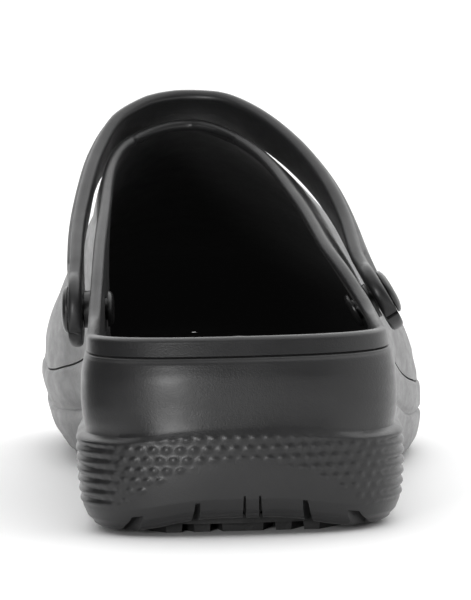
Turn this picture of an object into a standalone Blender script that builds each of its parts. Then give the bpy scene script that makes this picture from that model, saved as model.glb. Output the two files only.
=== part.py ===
# Chef clog for the right foot: a moulded foam upper on a foam sole unit, with a rubber outsole, an insole and a
# turning heel strap on two rivets. Metres, +Y to the toe, +X to the outer side, +Z up, origin under the middle.
import math

import bmesh
import bpy
from mathutils import Matrix, Vector

MM = 0.001

# Driving sizes of the shoe, in millimetres
LENGTH = 286.0
HEEL_ROUND = 30.0
HEEL_POWER = 2.6
TOE_ROUND = 80.0
TOE_POWER = 2.55
GAP = 0.3

# Upper
UPPER_WALL = 3.4
THROAT = 139.5
TOE_DOME = 42.0
TOE_DOME_POWER = 2.2
HEEL_LEAN = 0.3
LEG_POINTS = 10

# Sole unit, outsole and insole
RECESS_DEPTH = 5.0
SOLE_LOW_EDGE = 0.9
RIB_DEPTH = 0.9
LUG_DEPTH = 2.4
INSOLE_THICK = 4.5

# Heel strap and its rivets
PIVOT_U = 72.0
PIVOT_Z = 52.5
STRAP_WIDE = 17.0
STRAP_THICK = 3.6
STRAP_BAND = 0.9
LOBE_RADIUS = 10.0
LOBE_STRAIGHT = 9.0
STRAP_RISE = 36.5
SHAFT_RADIUS = 3.0
SPACER_RADIUS = 5.0
HEAD_RADIUS = 6.2

# Plan of the sole: distance from the back of the heel, middle line and half width
PLAN = [
    {"u": 0, "middle": 0.0, "half": 41.5},
    {"u": 45, "middle": 0.0, "half": 41.5},
    {"u": 75, "middle": 0.6, "half": 41.2},
    {"u": 100, "middle": 2.2, "half": 41.8},
    {"u": 130, "middle": 2.6, "half": 45.4},
    {"u": 165, "middle": 1.0, "half": 53.0},
    {"u": 192, "middle": 0.0, "half": 56.2},
    {"u": 215, "middle": -2.0, "half": 56.0},
    {"u": 250, "middle": -7.0, "half": 53.5},
    {"u": 286, "middle": -11.0, "half": 51.0},
]

# Heights of the parting line between upper and sole, and of the lower edge above the ground
LEVELS = [
    {"u": 0, "seam_medial": 44.8, "seam_lateral": 44.8, "lift": 0.0, "floor": 24.0},
    {"u": 10, "seam_medial": 44.9, "seam_lateral": 44.9, "lift": 0.0, "floor": 24.0},
    {"u": 40, "seam_medial": 45.9, "seam_lateral": 45.6, "lift": 0.0, "floor": 23.6},
    {"u": 66, "seam_medial": 47.0, "seam_lateral": 46.4, "lift": 0.0, "floor": 22.4},
    {"u": 82, "seam_medial": 46.2, "seam_lateral": 44.6, "lift": 0.6, "floor": 20.8},
    {"u": 110, "seam_medial": 40.4, "seam_lateral": 35.6, "lift": 3.6, "floor": 17.4},
    {"u": 140, "seam_medial": 32.8, "seam_lateral": 26.5, "lift": 0.9, "floor": 14.6},
    {"u": 152, "seam_medial": 30.6, "seam_lateral": 24.2, "lift": 0.0, "floor": 13.8},
    {"u": 185, "seam_medial": 27.0, "seam_lateral": 21.0, "lift": 0.0, "floor": 13.0},
    {"u": 200, "seam_medial": 26.8, "seam_lateral": 21.4, "lift": 0.3, "floor": 13.2},
    {"u": 230, "seam_medial": 27.4, "seam_lateral": 24.0, "lift": 2.8, "floor": 14.8},
    {"u": 262, "seam_medial": 28.6, "seam_lateral": 27.0, "lift": 7.2, "floor": 18.0},
    {"u": 286, "seam_medial": 29.0, "seam_lateral": 29.0, "lift": 11.0, "floor": 21.0},
]

# How far the lower edge rises at the back of the heel
HEEL_BEVEL = [
    {"u": 0, "rise": 3.4},
    {"u": 0.7, "rise": 2.8},
    {"u": 2.6, "rise": 1.2},
    {"u": 6, "rise": 0.2},
    {"u": 10, "rise": 0.0},
]

# The last: ridge line over the instep and toes, and how full each side of its section is
LAST = [
    {"u": 0, "ridge_x": 0.0, "ridge_z": 112.0, "full_medial": 2.4, "full_lateral": 1.5},
    {"u": 45, "ridge_x": -5.0, "ridge_z": 112.0, "full_medial": 2.6, "full_lateral": 1.2},
    {"u": 72, "ridge_x": -9.0, "ridge_z": 111.0, "full_medial": 3.0, "full_lateral": 1.14},
    {"u": 100, "ridge_x": -10.5, "ridge_z": 108.0, "full_medial": 3.2, "full_lateral": 1.29},
    {"u": 125, "ridge_x": -10.4, "ridge_z": 103.8, "full_medial": 2.9, "full_lateral": 1.46},
    {"u": 139.5, "ridge_x": -10.3, "ridge_z": 101.1, "full_medial": 2.3, "full_lateral": 1.52},
    {"u": 158, "ridge_x": -10.6, "ridge_z": 95.6, "full_medial": 1.98, "full_lateral": 1.6},
    {"u": 185, "ridge_x": -12.0, "ridge_z": 84.8, "full_medial": 1.88, "full_lateral": 1.72},
    {"u": 215, "ridge_x": -13.0, "ridge_z": 72.0, "full_medial": 1.95, "full_lateral": 1.9},
    {"u": 250, "ridge_x": -13.0, "ridge_z": 60.5, "full_medial": 2.1, "full_lateral": 2.1},
    {"u": 286, "ridge_x": -11.0, "ridge_z": 54.0, "full_medial": 2.1, "full_lateral": 2.1},
]

# Height of the collar's edge from the heel to the throat
COLLAR = [
    {"u": 0, "z": 48.2},
    {"u": 34, "z": 48.4},
    {"u": 47, "z": 50.4},
    {"u": 57, "z": 55.6},
    {"u": 68, "z": 62.8},
    {"u": 85, "z": 72.4},
    {"u": 105, "z": 83.2},
    {"u": 125, "z": 93.8},
    {"u": 135, "z": 98.8},
    {"u": 139.5, "z": 101.1},
]

# Side of the sole, from the parting line down: share of the height, and how far it stands out of the plan
SOLE_SIDE = [
    {"share_heel": 1.0, "out_heel": -3.0, "share_ball": 1.0, "out_medial": -0.9, "out_lateral": -0.9},
    {"share_heel": 0.965, "out_heel": -2.3, "share_ball": 0.95, "out_medial": -0.2, "out_lateral": -0.2},
    {"share_heel": 0.87, "out_heel": -1.5, "share_ball": 0.86, "out_medial": 0.0, "out_lateral": 0.0},
    {"share_heel": 0.74, "out_heel": -1.3, "share_ball": 0.76, "out_medial": -0.4, "out_lateral": 0.0},
    {"share_heel": 0.63, "out_heel": -1.6, "share_ball": 0.66, "out_medial": -1.2, "out_lateral": -0.1},
    {"share_heel": 0.56, "out_heel": -2.1, "share_ball": 0.585, "out_medial": -2.4, "out_lateral": -1.1},
    {"share_heel": 0.537, "out_heel": -0.7, "share_ball": 0.555, "out_medial": -1.6, "out_lateral": -0.3},
]

# The ribbed band under the step: its two ends, and the rounded lower edge under it
RIB_BAND = {
    "ribs": 6,
    "top": {"share_heel": 0.518, "out_heel": 0.0, "share_ball": 0.53, "out_medial": -1.5, "out_lateral": -0.1},
    "foot": {"share_heel": 0.15, "out_heel": -1.0, "share_ball": 0.22, "out_medial": -5.0, "out_lateral": -1.4},
    "first_u": 4.0,
    "last_u": 118.0,
    "fade": 22.0,
}
LOWER_EDGE = [
    {"share_heel": 0.085, "out_heel": -2.2, "share_ball": 0.13, "out_medial": -6.6, "out_lateral": -2.6},
    {"share_heel": 0.042, "out_heel": -3.8, "share_ball": 0.07, "out_medial": -8.2, "out_lateral": -4.0},
]
LOW_OUTER = {"out_heel": -5.8, "out_medial": -9.8, "out_lateral": -6.0}
LOW_INNER = {"out_heel": -9.6, "out_medial": -13.2, "out_lateral": -9.6}

# Notches in the lower edge of the heel: middle of each across the shoe, width, height and lean
HEEL_NOTCHES = [
    {"x": -27.0, "wide": 6.5, "high": 6.4, "lean": -24.0},
    {"x": -11.5, "wide": 3.8, "high": 10.6, "lean": -12.0},
    {"x": 0.4, "wide": 1.8, "high": 12.4, "lean": -3.0},
    {"x": 4.4, "wide": 1.8, "high": 12.4, "lean": 3.0},
    {"x": 16.0, "wide": 3.8, "high": 10.6, "lean": 12.0},
    {"x": 28.5, "wide": 6.5, "high": 6.4, "lean": 24.0},
]

# Rows of lugs on the outsole: they start and end at these distances, with the arch left bare between
LUG_ROWS = [12, 24, 36, 48, 60, 72, 84, 98, 126, 140, 153, 166, 179, 192, 205, 218, 231, 244, 256, 267]
LUG_COLUMNS = [-0.94, -0.62, -0.3, 0.3, 0.62, 0.94]
BARE_ROW = 98

# How far each rivet's spacer holds the strap off the upper
RIVETS = {
    -1: {"name": "rivet_medial", "standoff": 2.6},
    1: {"name": "rivet_lateral", "standoff": 1.6},
}

# The strap from the medial rivet over the instep to the lateral one: its rear edge across and up, how steeply the
# band falls towards the toe, and how much further out its front edge lies
STRAP = [
    {"x": -43.0, "z": 76.5, "fall": 50.0, "spread": 1.6},
    {"x": -40.7, "z": 87.0, "fall": 46.0, "spread": 2.2},
    {"x": -37.5, "z": 95.6, "fall": 42.0, "spread": 3.0},
    {"x": -33.0, "z": 102.8, "fall": 34.0, "spread": 0.5},
    {"x": -25.2, "z": 107.5, "fall": 29.0, "spread": -0.8},
    {"x": -16.9, "z": 109.7, "fall": 27.0, "spread": -0.5},
    {"x": -8.5, "z": 109.9, "fall": 25.0, "spread": 0.0},
    {"x": 0.2, "z": 108.5, "fall": 27.0, "spread": -0.8},
    {"x": 8.4, "z": 104.8, "fall": 30.0, "spread": 0.0},
    {"x": 16.0, "z": 99.4, "fall": 35.0, "spread": 1.4},
    {"x": 23.0, "z": 92.4, "fall": 40.0, "spread": 2.3},
    {"x": 28.6, "z": 84.2, "fall": 45.0, "spread": 3.0},
    {"x": 32.3, "z": 75.2, "fall": 50.0, "spread": 4.2},
]
STRAP_EDGE_START = {"u": 66.9, "z": 57.8}


def clear_scene():
    for thing in list(bpy.data.objects):
        bpy.data.objects.remove(thing)


def read(table, column, at, key="u"):
    """A smooth value from a table: cubic pieces whose slopes never overshoot the rows."""
    if at <= table[0][key]:
        return table[0][column]
    if at >= table[-1][key]:
        return table[-1][column]
    i = max(n for n in range(len(table) - 1) if table[n][key] <= at)
    step = table[i + 1][key] - table[i][key]
    t = (at - table[i][key]) / step
    before, after = slope_at(table, column, i, key), slope_at(table, column, i + 1, key)
    a, b = table[i][column], table[i + 1][column]
    return (
        a * (1 + 2 * t) * (1 - t) ** 2
        + before * step * t * (1 - t) ** 2
        + b * t * t * (3 - 2 * t)
        + after * step * t * t * (t - 1)
    )


def slope_at(table, column, i, key):
    if i == 0 or i == len(table) - 1:
        return 0.0
    left_step = table[i][key] - table[i - 1][key]
    right_step = table[i + 1][key] - table[i][key]
    left = (table[i][column] - table[i - 1][column]) / left_step
    right = (table[i + 1][column] - table[i][column]) / right_step
    if left * right <= 0:
        return 0.0
    return 3 * (left_step + right_step) / ((2 * right_step + left_step) / left + (right_step + 2 * left_step) / right)


def mix(a, b, t):
    return a + (b - a) * t


def ease(t):
    t = min(max(t, 0.0), 1.0)
    return t * t * (3 - 2 * t)


def rounding(depth, power):
    """Share of the full size at a rounded end: 0 at the tip, 1 where the rounding starts."""
    depth = min(max(depth, 0.0), 1.0)
    return (1 - (1 - depth) ** power) ** (1 / power)


def plan_x(u, side):
    half = read(PLAN, "half", u)
    half *= rounding(u / HEEL_ROUND, HEEL_POWER) * rounding((LENGTH - u) / TOE_ROUND, TOE_POWER)
    return read(PLAN, "middle", u) + side * half


def by_side(medial, lateral, side):
    return mix(medial, lateral, (side + 1) / 2)


def seam_z(u, side):
    return by_side(read(LEVELS, "seam_medial", u), read(LEVELS, "seam_lateral", u), side)


def world(x, u, z):
    return Vector((x * MM, (u - LENGTH / 2) * MM, z * MM))


def stations(middle):
    """Distances from the heel: even steps round both ends, and the given ones between."""
    heel = [HEEL_ROUND * (1 - math.cos(math.radians(a))) for a in (0, 12, 24, 36, 48, 60, 72, 84)]
    start = LENGTH - TOE_ROUND
    toe = [start + TOE_ROUND * math.sin(math.radians(a)) for a in (10, 20, 30, 40, 49, 57, 65, 73, 81)]
    return heel + middle + toe + [LENGTH]


SOLE_STATIONS = stations([36, 46, 56, 66, 76, 88, 100, 112, 124, 138, 152, 166, 180, 193, 206])
UPPER_STATIONS = stations(
    [36, 42, 48, 54, 60, 66, 74, 84, 95, 106, 116, 124, 130, 134.5, 137.5, 139, THROAT]
    + [148, 158, 168, 180, 193, 206]
)


class Loop:
    """The plan's outline as columns: the back of the heel, the medial side, the toe, the lateral side."""

    def __init__(self, distances):
        last = len(distances) - 1
        self.u = distances + distances[last - 1:0:-1]
        self.side = [0] + [-1] * (last - 1) + [0] + [1] * (last - 1)
        self.plan = [Vector((plan_x(u, side), u)) for u, side in zip(self.u, self.side)]
        self.last = last
        self.count = len(self.u)
        self.out = []
        for i in range(self.count):
            run = self.plan[(i + 1) % self.count] - self.plan[i - 1]
            self.out.append(Vector((-run.y, run.x)).normalized())

    def ring(self, out_at, z_at):
        points = []
        for i in range(self.count):
            place = self.plan[i] + self.out[i] * out_at(i)
            points.append(world(place.x, place.y, z_at(i, place.y)))
        return points

    def low_edge(self, i, u_here):
        """Height of the lower edge: the arch and toe spring where the point lies, the bevel by its column."""
        return read(LEVELS, "lift", u_here) + read(HEEL_BEVEL, "rise", self.u[i])

    def between(self, row, i, name="out"):
        """A column of the side tables at one place: heel values at the back, ball values in front."""
        forward = ease((self.u[i] - 60) / 95)
        if name == "out":
            ball = by_side(row["out_medial"], row["out_lateral"], self.side[i])
            return mix(row["out_heel"], ball, forward)
        return mix(row["share_heel"], row["share_ball"], forward)


def material(name, colour, roughness):
    made = bpy.data.materials.new(name)
    made.use_nodes = True
    shader = made.node_tree.nodes["Principled BSDF"]
    shader.inputs["Base Color"].default_value = (*colour, 1)
    shader.inputs["Roughness"].default_value = roughness
    shader.inputs["Metallic"].default_value = 0.0
    return made


def finish_object(name, mesh, finish, smooth_angle=40):
    bmesh.ops.remove_doubles(mesh, verts=mesh.verts, dist=1e-7)
    bmesh.ops.recalc_face_normals(mesh, faces=mesh.faces)
    data = bpy.data.meshes.new(name)
    mesh.to_mesh(data)
    mesh.free()
    data.shade_smooth()
    data.set_sharp_from_angle(angle=math.radians(smooth_angle))
    data.materials.append(finish)
    made = bpy.data.objects.new(name, data)
    bpy.context.scene.collection.objects.link(made)
    return made


def loft(rings, last):
    """A closed solid through rings of equal count, with strips across the first and the last."""
    mesh = bmesh.new()
    verts = [[mesh.verts.new(point) for point in ring] for ring in rings]
    count = len(rings[0])
    for upper, lower in zip(verts, verts[1:]):
        for i in range(count):
            j = (i + 1) % count
            mesh.faces.new((upper[i], upper[j], lower[j], lower[i]))
    for ring in (verts[0], verts[-1]):
        close_across(mesh, ring, last)
    return mesh


def close_across(mesh, ring, last):
    mesh.faces.new((ring[0], ring[1], ring[-1]))
    for k in range(1, last - 1):
        mesh.faces.new((ring[k], ring[k + 1], ring[-k - 1], ring[-k]))
    mesh.faces.new((ring[last - 1], ring[last], ring[last + 1]))


def cutter(name, mesh):
    made = finish_object(name, mesh, bpy.data.materials["cutter"])
    made.hide_render = True
    made.display_type = "WIRE"
    return made


def cut(target, tool):
    step = target.modifiers.new(tool.name, "BOOLEAN")
    step.operation = "DIFFERENCE"
    step.solver = "EXACT"
    step.object = tool


# Sole unit


def rib_strength(u):
    band = RIB_BAND
    return ease((u - band["first_u"]) / 10) * ease((band["last_u"] - u) / band["fade"])


def side_rings(loop):
    """The outer side of the sole from the parting line down to the lower edge."""
    seam = [seam_z(u, side) - GAP / 2 for u, side in zip(loop.u, loop.side)]

    def ring(row, extra=0.0):
        return loop.ring(
            lambda i: loop.between(row, i) + extra * rib_strength(loop.u[i]),
            lambda i, u: mix(loop.low_edge(i, u), seam[i], loop.between(row, i, "share")),
        )

    rings = [ring(row) for row in SOLE_SIDE]
    steps = RIB_BAND["ribs"] * 2
    for n in range(steps + 1):
        down = n / steps
        bulge = {
            key: mix(RIB_BAND["top"][key], RIB_BAND["foot"][key], down if key.startswith("share") else down ** 2)
            for key in RIB_BAND["top"]
        }
        rings.append(ring(bulge, -RIB_DEPTH if n % 2 else 0.0))
    rings += [ring(row) for row in LOWER_EDGE]
    return rings, seam


def make_sole(loop, finish):
    rings, seam = side_rings(loop)
    wall = {key: value - UPPER_WALL - 0.2 for key, value in SOLE_SIDE[0].items()}
    inner_top = loop.ring(lambda i: loop.between(wall, i), lambda i, u: seam[i])
    inner_foot = loop.ring(lambda i: loop.between(wall, i), lambda i, u: read(LEVELS, "floor", u))
    low_outer = loop.ring(lambda i: loop.between(LOW_OUTER, i), lambda i, u: loop.low_edge(i, u) + SOLE_LOW_EDGE)
    low_inner = loop.ring(lambda i: loop.between(LOW_INNER, i), lambda i, u: loop.low_edge(i, u) + SOLE_LOW_EDGE)
    recess = loop.ring(lambda i: loop.between(LOW_INNER, i) - 0.2,
                       lambda i, u: read(LEVELS, "lift", u) + RECESS_DEPTH)
    mesh = loft([inner_foot, inner_top, *rings, low_outer, low_inner, recess], loop.last)
    sole = finish_object("sole", mesh, finish, 35)
    for n, row in enumerate(HEEL_NOTCHES):
        cut(sole, notch_cutter(f"notch_{n}", row))
    return sole


def notch_cutter(name, row):
    """A wedge under the lower edge of the heel, wide at the ground and narrow at its top."""
    deep = 9.0
    back = [u for u in [n * 0.25 for n in range(80)] if abs(plan_x(u, 1)) >= abs(row["x"]) + 0.5][0]
    turn = Matrix.Rotation(math.radians(-row["lean"]), 4, "Z")
    mesh = bmesh.new()
    half, low = row["wide"] / 2, -3.0
    corners = []
    for y, half_here, top in ((-deep, half, row["high"]), (deep, half * 0.7, row["high"] * 0.55)):
        face = [(-half_here, y, low), (half_here, y, low), (half_here * 0.35, y, top), (-half_here * 0.35, y, top)]
        for point in face:
            moved = turn @ Vector(point)
            corners.append(mesh.verts.new(world(row["x"] + moved.x, back + 3.0 + moved.y, moved.z)))
    for face in ((0, 1, 2, 3), (7, 6, 5, 4), (0, 4, 5, 1), (1, 5, 6, 2), (2, 6, 7, 3), (3, 7, 4, 0)):
        mesh.faces.new([corners[i] for i in face])
    return cutter(name, mesh)


def make_insole(loop, finish):
    wall = {key: value - UPPER_WALL - 0.2 - GAP for key, value in SOLE_SIDE[0].items()}

    def ring(inset, rise):
        return loop.ring(lambda i: loop.between(wall, i) - inset, lambda i, u: read(LEVELS, "floor", u) + rise)

    rings = [
        ring(0.6, GAP),
        ring(0.0, GAP + 0.8),
        ring(0.3, INSOLE_THICK + 1.2),
        ring(3.0, INSOLE_THICK + 0.9),
        ring(12.0, INSOLE_THICK),
    ]
    return finish_object("insole", loft(rings, loop.last), finish)


def make_outsole(finish):
    """A rubber slab in the recess of the sole, its lower faces drawn down into lugs."""
    loop = Loop(SOLE_STATIONS)
    edge = {key: value - 0.2 - GAP for key, value in LOW_INNER.items()}
    top = loop.ring(lambda i: loop.between(edge, i), lambda i, u: read(LEVELS, "lift", u) + RECESS_DEPTH - GAP)
    rim = loop.ring(lambda i: loop.between(edge, i), lambda i, u: read(LEVELS, "lift", u) + LUG_DEPTH)
    mesh = bmesh.new()
    top_verts = [mesh.verts.new(point) for point in top]
    rim_verts = [mesh.verts.new(point) for point in rim]
    count = loop.count
    for i in range(count):
        j = (i + 1) % count
        mesh.faces.new((top_verts[i], top_verts[j], rim_verts[j], rim_verts[i]))
    close_across(mesh, top_verts, loop.last)
    close_across(mesh, rim_verts, loop.last)
    slab = finish_object("outsole", mesh, finish, 35)
    for n, lugs in enumerate(lug_blocks(loop, rim)):
        step = slab.modifiers.new(f"lugs_{n}", "BOOLEAN")
        step.operation = "UNION"
        step.solver = "EXACT"
        step.object = lugs
    return slab


def edge_span(loop, rim, u):
    """Where the outsole's two edges lie at one distance from the heel."""
    spans = []
    for side in (-1, 1):
        chain = [rim[i] for i in range(loop.count) if loop.side[i] in (0, side)]
        rows = sorted(((p.y / MM + LENGTH / 2, p.x / MM) for p in chain))
        for (u0, x0), (u1, x1) in zip(rows, rows[1:]):
            if u0 <= u <= u1 and u1 > u0:
                spans.append(mix(x0, x1, (u - u0) / (u1 - u0)))
                break
    return spans


def lug_blocks(loop, rim):
    """All lugs as one cutter-like guide object of separate blocks, joined to the slab by a union."""
    mesh = bmesh.new()
    groove = 2.6
    into_slab = 0.8
    for start, end in zip(LUG_ROWS, LUG_ROWS[1:]):
        if start == BARE_ROW:
            continue
        for left, right in zip(LUG_COLUMNS, LUG_COLUMNS[1:]):
            corners = []
            for u in (start + groove / 2, end - groove / 2):
                x_medial, x_lateral = edge_span(loop, rim, u)
                centre, half = (x_medial + x_lateral) / 2, (x_lateral - x_medial) / 2
                for share, shift in ((left, groove / 2), (right, -groove / 2)):
                    corners.append((centre + half * share + shift, u))
            a, b, c, d = corners
            ground = [read(LEVELS, "lift", u) for u in (start + groove / 2, end - groove / 2)]
            block = []
            for up in (0.0, LUG_DEPTH + into_slab):
                taper = 0.35 if up == 0.0 else 0.0
                for (x, u), level, dx in ((a, ground[0], taper), (b, ground[0], -taper),
                                          (d, ground[1], -taper), (c, ground[1], taper)):
                    block.append(mesh.verts.new(world(x + dx, u, level + up)))
            for face in ((3, 2, 1, 0), (4, 5, 6, 7), (0, 1, 5, 4), (1, 2, 6, 5), (2, 3, 7, 6), (3, 0, 4, 7)):
                mesh.faces.new([block[i] for i in face])
    return [cutter("lug_guide", mesh)]


# Upper


def ridge_z(u):
    low = seam_z(u, 0)
    return low + (read(LAST, "ridge_z", u) - low) * rounding((LENGTH - u) / TOE_DOME, TOE_DOME_POWER)


def seam_out(u):
    forward = ease((u - 60) / 95)
    return mix(SOLE_SIDE[0]["out_heel"], SOLE_SIDE[0]["out_medial"], forward)


def leg_shape(u, side):
    """Foot of one side's section, its reach to the ridge and its fullness."""
    low = seam_z(u, side) + GAP / 2
    name = "full_medial" if side < 0 else "full_lateral"
    return low, max(ridge_z(u) - low, 0.0), read(LAST, name, u)


def leg_end(u, side):
    """Angle at which the section stops: at the collar behind the throat, at the ridge in front of it."""
    if u >= THROAT:
        return math.pi / 2
    low, rise, power = leg_shape(u, side)
    share = (read(COLLAR, "z", u) - low) / rise
    return math.atan2(share, (1 - share ** power) ** (1 / power))


def section_point(foot, u, side, angle):
    """A point of the upper's outer face on the section through one column of the plan."""
    low, rise, power = leg_shape(u, side)
    across, up = math.cos(angle), math.sin(angle)
    reach = (abs(across) ** power + abs(up) ** power) ** (-1 / power)
    middle = read(LAST, "ridge_x", u)
    z = low + rise * reach * up
    lean = HEEL_LEAN * (z - low) * (1 - ease(u / HEEL_ROUND))
    return world(middle + (foot.x - middle) * reach * across, foot.y + lean, z)


class Shell:
    """The upper as a grid: side, station along the foot, step from the parting line to collar or ridge."""

    def __init__(self, distances, steps, wall):
        self.loop = Loop(distances)
        self.last = self.loop.last
        self.steps = steps
        self.wall = wall
        self.throat = distances.index(THROAT)
        self.outer = {}
        self.inner = {}
        self.normal = {}
        for side in (-1, 1):
            for k in range(self.last + 1):
                self.fill_outer(side, k)
        for side in (-1, 1):
            for k in range(self.last + 1):
                self.fill_inner(side, k)

    def key(self, side, k, j):
        """Shared points have one key: the back of the heel, the ridge and the tip of the toe."""
        if k == 0:
            return -1, 0, j
        if k == self.last:
            return -1, k, 0
        if k >= self.throat and j == self.steps:
            return -1, k, j
        return side, k, j

    def column(self, side, k):
        return k if side < 0 or k in (0, self.last) else self.loop.count - k

    def fill_outer(self, side, k):
        loop = self.loop
        i = self.column(side, k)
        u = loop.u[i]
        foot = loop.plan[i] + loop.out[i] * seam_out(u)
        end = leg_end(u, side) if k < self.last else 0.0
        for j in range(self.steps + 1):
            key = self.key(side, k, j)
            if key not in self.outer:
                self.outer[key] = section_point(foot, u, side, end * j / self.steps)

    def at(self, side, k, j):
        return self.outer[self.key(side, k, j)]

    def neighbour(self, side, k, j, dk, dj):
        """The next point along or up, going over the ridge or round the heel where the grid does."""
        if j + dj > self.steps:
            return self.at(-side, k, self.steps - 1) if k >= self.throat else self.at(side, k, j)
        if j + dj < 0:
            return self.at(side, k, j)
        if k + dk < 0:
            return self.at(-side, 1, j)
        if k + dk > self.last:
            return self.at(side, k, j)
        return self.at(side, k + dk, j + dj)

    def fill_inner(self, side, k):
        i = self.column(side, k)
        flat = Vector((*self.loop.out[i], 0))
        base = self.at(side, k, 0)
        for j in range(self.steps + 1):
            key = self.key(side, k, j)
            if key in self.inner:
                continue
            here = self.at(side, k, j)
            if k == self.last:
                normal = flat
            else:
                along = self.neighbour(side, k, j, 1, 0) - self.neighbour(side, k, j, -1, 0)
                up = self.neighbour(side, k, j, 0, 1) - self.neighbour(side, k, j, 0, -1)
                normal = along.cross(up).normalized() * side
            if k == 0:
                normal = Vector((0, -1, 0))
            level = Vector((normal.x, normal.y, 0))
            level = level.normalized() if level.length > 0.2 else flat
            tall = ease((here.z - base.z) / (12 * MM))
            normal = (level * (1 - tall) + normal * tall).normalized()
            if j == 0:
                normal = flat
            self.normal[key] = normal
            self.inner[key] = here - normal * self.wall * MM

    def collar(self):
        """The collar's edge as keys: the heel, the medial side, the throat and the lateral side."""
        medial = [self.key(-1, k, self.steps) for k in range(self.throat + 1)]
        lateral = [self.key(1, k, self.steps) for k in range(self.throat - 1, 0, -1)]
        return medial + lateral

    def rim_rows(self, angles):
        """Rows of points that round the collar's edge over from the outer face to the inner one."""
        keys = self.collar()
        count = len(keys)
        rows = []
        for angle in angles:
            row = []
            for n, key in enumerate(keys):
                outer, inner = self.outer[key], self.inner[key]
                run = self.outer[keys[(n + 1) % count]] - self.outer[keys[n - 1]]
                away = run.cross(outer - inner).normalized()
                half = (outer - inner) / 2
                place = (outer + inner) / 2 + half * math.cos(angle) + away * half.length * math.sin(angle) * 0.85
                row.append(place)
            rows.append(row)
        return rows


def add_face(mesh, verts):
    kept = [v for n, v in enumerate(verts) if v not in verts[:n]]
    if len(kept) > 2:
        mesh.faces.new(kept)


def make_upper(finish):
    shell = Shell(UPPER_STATIONS, LEG_POINTS, UPPER_WALL)
    mesh = bmesh.new()
    outer = {key: mesh.verts.new(point) for key, point in shell.outer.items()}
    inner = {key: mesh.verts.new(point) for key, point in shell.inner.items()}
    for side in (-1, 1):
        for k in range(shell.last):
            for j in range(shell.steps):
                corners = [shell.key(side, *kj) for kj in ((k, j), (k + 1, j), (k + 1, j + 1), (k, j + 1))]
                for layer in (outer, inner):
                    add_face(mesh, [layer[key] for key in corners])
            low, ahead = shell.key(side, k, 0), shell.key(side, k + 1, 0)
            add_face(mesh, [outer[low], outer[ahead], inner[ahead], inner[low]])
    keys = shell.collar()
    rim = [[outer[key] for key in keys]]
    rim += [[mesh.verts.new(point) for point in row] for row in shell.rim_rows((math.pi / 4, math.pi * 3 / 4))]
    rim.append([inner[key] for key in keys])
    for row, after in zip(rim, rim[1:]):
        for n in range(len(keys)):
            m = (n + 1) % len(keys)
            add_face(mesh, [row[n], row[m], after[m], after[n]])
    return finish_object("upper", mesh, finish)


# Rivets and strap


def wall_point(side, u, z):
    """A point of the upper's outer face at one distance and height."""
    low, rise, power = leg_shape(u, side)
    share = min(max((z - low) / rise, 0.0), 1.0)
    middle = read(LAST, "ridge_x", u)
    foot = plan_x(u, side) + side * seam_out(u)
    return world(middle + (foot - middle) * (1 - share ** power) ** (1 / power), u, z)


def pivot_frame(side):
    """The rivet's seat on the wall: its point and the directions out, along the strap and across it."""
    seat = wall_point(side, PIVOT_U, PIVOT_Z)
    along = wall_point(side, PIVOT_U + 6, PIVOT_Z) - wall_point(side, PIVOT_U - 6, PIVOT_Z)
    up = wall_point(side, PIVOT_U, PIVOT_Z + 5) - wall_point(side, PIVOT_U, PIVOT_Z - 3)
    out = along.cross(up).normalized() * side
    rise = math.radians(STRAP_RISE)
    run = Vector((0, math.cos(rise), math.sin(rise)))
    run = (run - out * run.dot(out)).normalized()
    across = out.cross(run) * side
    return seat, out, run, across


def make_rivet(side, finish):
    """A pin with a domed head outside the strap, a spacer under it and a flat head inside the upper."""
    seat, out, run, across = pivot_frame(side)
    under = RIVETS[side]["standoff"] - GAP
    head = RIVETS[side]["standoff"] + STRAP_THICK + GAP
    inside = -(UPPER_WALL + GAP + 0.4)
    profile = [
        (0, inside - 1.5), (3.6, inside - 1.4), (4.6, inside - 0.9), (4.8, inside),
        (SHAFT_RADIUS, inside), (SHAFT_RADIUS, GAP), (SPACER_RADIUS, GAP), (SPACER_RADIUS, under),
        (SHAFT_RADIUS, under), (SHAFT_RADIUS, head),
        (HEAD_RADIUS, head), (HEAD_RADIUS - 0.3, head + 0.8), (HEAD_RADIUS - 1.8, head + 1.5), (0, head + 1.9),
    ]
    mesh = bmesh.new()
    turns = 16
    rings = []
    for radius, height in profile:
        ring = []
        for n in range(turns if radius else 1):
            angle = 2 * math.pi * n / turns
            place = seat + (out * height + (run * math.cos(angle) + across * math.sin(angle)) * radius) * MM
            ring.append(mesh.verts.new(place))
        rings.append(ring)
    for lower, upper in zip(rings, rings[1:]):
        for n in range(turns):
            m = (n + 1) % turns
            add_face(mesh, [lower[n % len(lower)], lower[m % len(lower)], upper[m % len(upper)], upper[n % len(upper)]])
    return finish_object(RIVETS[side]["name"], mesh, finish)


def pin_cutter(name, side):
    seat, out, run, across = pivot_frame(side)
    mesh = bmesh.new()
    radius = SHAFT_RADIUS + GAP
    place = Matrix((run, across, run.cross(across))).transposed().to_4x4()
    place.translation = seat
    bmesh.ops.create_cone(mesh, cap_ends=True, segments=16, radius1=radius * MM, radius2=radius * MM,
                          depth=24 * MM, matrix=place)
    return cutter(name, mesh)


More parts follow.
